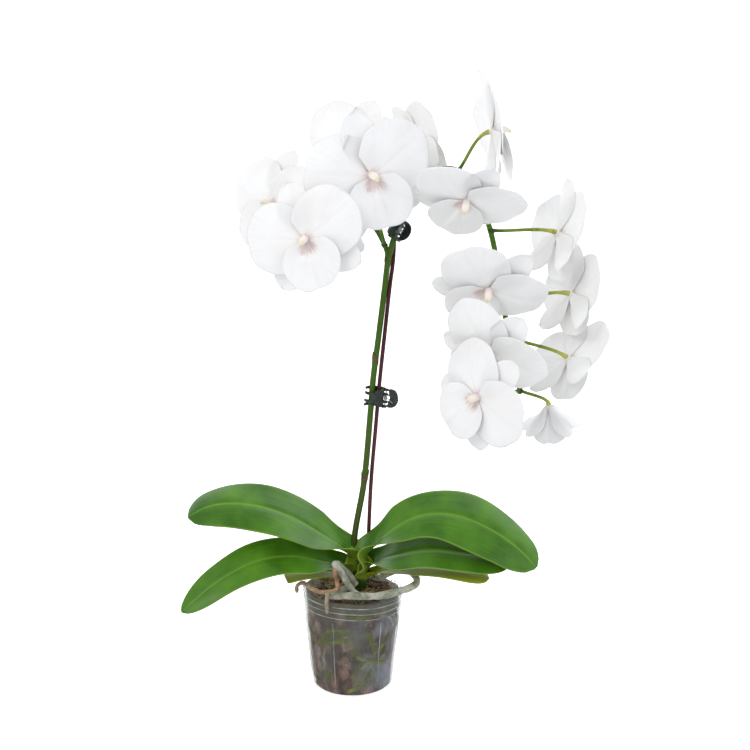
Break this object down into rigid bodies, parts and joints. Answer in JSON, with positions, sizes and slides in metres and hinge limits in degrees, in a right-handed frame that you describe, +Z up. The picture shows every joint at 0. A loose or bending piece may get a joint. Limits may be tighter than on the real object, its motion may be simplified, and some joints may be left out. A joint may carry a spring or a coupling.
{
  "type": "potted orchid",
  "caption": "Potted moth orchid: large white blooms along an arching spike, held to a maroon stake by claw clips, broad green leaves, silver roots, clear pot of bark.",
  "frame": {"origin": "centre of the pot's underside, on the surface the pot stands on", "axes": "+Z up along the pot's axis, the blooms face -Y, the flower spike arches towards +X"},
  "size_m": [0.4865, 0.2248, 0.7239],
  "materials": {
    "pot_plastic": "clear, lightly smoked, gloss",
    "bark": "rough, matte",
    "stem_green": "satin",
    "crown_green": "satin",
    "leaf_green": "satin, leathery",
    "root": "matte",
    "stake_maroon": "satin coating",
    "petal_white": "soft matte",
    "clip_plastic": "gloss",
    "spring_steel": "bright wire"
  },
  "bodies": {
    "root": {"pot": "pot_plastic", "growing_medium": "bark", "flower_spike": "stem_green", "crown": "crown_green", "leaf_upper_left": "leaf_green", "leaf_lower_left": "leaf_green", "leaf_upper_right": "leaf_green", "leaf_lower_right": "leaf_green", "leaf_under_right": "leaf_green", "leaf_small_left": "leaf_green", "aerial_roots": "root", "support_stake": "stake_maroon", "bloom_01": "petal_white", "bloom_02": "petal_white", "bloom_03": "petal_white", "bloom_04": "petal_white", "bloom_05": "petal_white", "bloom_06": "petal_white", "bloom_07": "petal_white", "bloom_08": "petal_white", "bloom_09": "petal_white", "bloom_10": "petal_white", "bloom_11": "petal_white", "bloom_12": "petal_white", "bloom_13": "petal_white", "bloom_14": "petal_white", "bloom_15": "petal_white", "clip_lower_fixed_jaw": "clip_plastic", "clip_lower_spring": "spring_steel", "clip_upper_fixed_jaw": "clip_plastic", "clip_upper_spring": "spring_steel"},
    "clip_lower_jaw": {"clip_lower_moving_jaw": "clip_plastic"},
    "clip_upper_jaw": {"clip_upper_moving_jaw": "clip_plastic"}
  },
  "joints": [
    {"name": "clip_lower_hinge", "type": "hinge", "parent": "root", "child": "clip_lower_jaw", "pos_m": [0.0395, 0.0044, 0.349], "axis": [0.1045, 0, 0.9945], "range_deg": [0, 28], "stiffness_Nm_per_rad": 0.005, "springref_deg": -20.05},
    {"name": "clip_upper_hinge", "type": "hinge", "parent": "root", "child": "clip_upper_jaw", "pos_m": [0.056, -0.0059, 0.5442], "axis": [0.4683, 0.0698, 0.8808], "range_deg": [0, 28], "stiffness_Nm_per_rad": 0.005, "springref_deg": -20.05}
  ]
}
